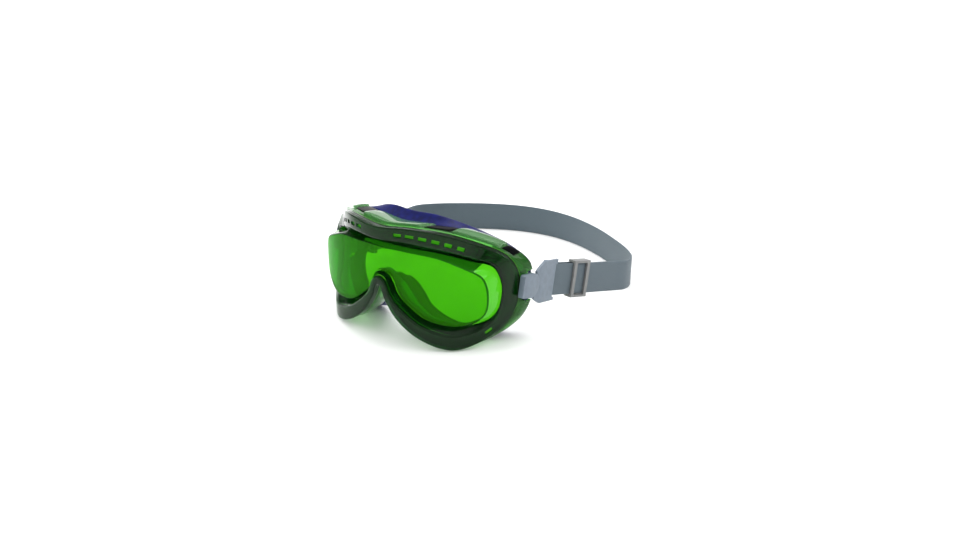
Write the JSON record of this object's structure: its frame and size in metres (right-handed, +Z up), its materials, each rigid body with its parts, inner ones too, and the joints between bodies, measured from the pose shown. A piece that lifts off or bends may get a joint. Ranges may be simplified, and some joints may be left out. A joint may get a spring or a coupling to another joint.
{
  "type": "welding goggles",
  "caption": "Wraparound goggles with a green filter lens, vented translucent frame, soft face seal and a pivoting elastic headband with sliding adjusters.",
  "frame": {"origin": "on the surface the goggles stand on, under the middle of the box that holds the goggles and their headband", "axes": "+X to the wearer's left, -Y forwards through the lens, +Z up"},
  "size_m": [0.1962, 0.2246, 0.085],
  "materials": {
    "lens": "polished green filter polycarbonate",
    "gasket": "matt",
    "frame": "glossy translucent green",
    "housing": "glossy translucent green",
    "seal": "satin",
    "vent_cover": "glossy translucent green",
    "vent_insert": "satin black",
    "clip": "satin",
    "pin": "plain",
    "adjuster": "satin",
    "strap": "woven elastic"
  },
  "bodies": {
    "goggles": {"lens": "lens", "lens_gasket": "gasket", "front_frame": "frame", "rear_housing": "housing", "face_seal": "seal", "vent_cover_centre": "vent_cover", "vent_cover_left": "vent_cover", "vent_cover_right": "vent_cover", "vent_insert_left_inner": "vent_insert", "vent_insert_right_inner": "vent_insert", "vent_insert_left_outer": "vent_insert", "vent_insert_right_outer": "vent_insert", "tongue_left": "clip", "tongue_right": "clip", "pivot_pin_left": "pin", "pivot_pin_right": "pin"},
    "band": {"headband": "strap", "strap_tail_left": "strap", "strap_tail_right": "strap", "strap_clip_left": "clip", "strap_clip_right": "clip"},
    "adjuster_l": {"adjuster_left": "adjuster"},
    "adjuster_r": {"adjuster_right": "adjuster"}
  },
  "joints": [
    {"name": "headband_pivot", "type": "hinge", "parent": "goggles", "child": "band", "pos_m": [0, -0.0468, 0.0364], "axis": [1, 0, 0], "range_deg": [-10, 40]},
    {"name": "adjuster_left_slide", "type": "slide", "parent": "band", "child": "adjuster_l", "axis": [-0.284, -0.9303, 0.232], "range_m": [0, 0.014], "deforming": ["strap_tail_left"]},
    {"name": "adjuster_right_slide", "type": "slide", "parent": "band", "child": "adjuster_r", "axis": [0.284, -0.9303, 0.232], "range_m": [0, 0.014], "deforming": ["strap_tail_right"]}
  ]
}
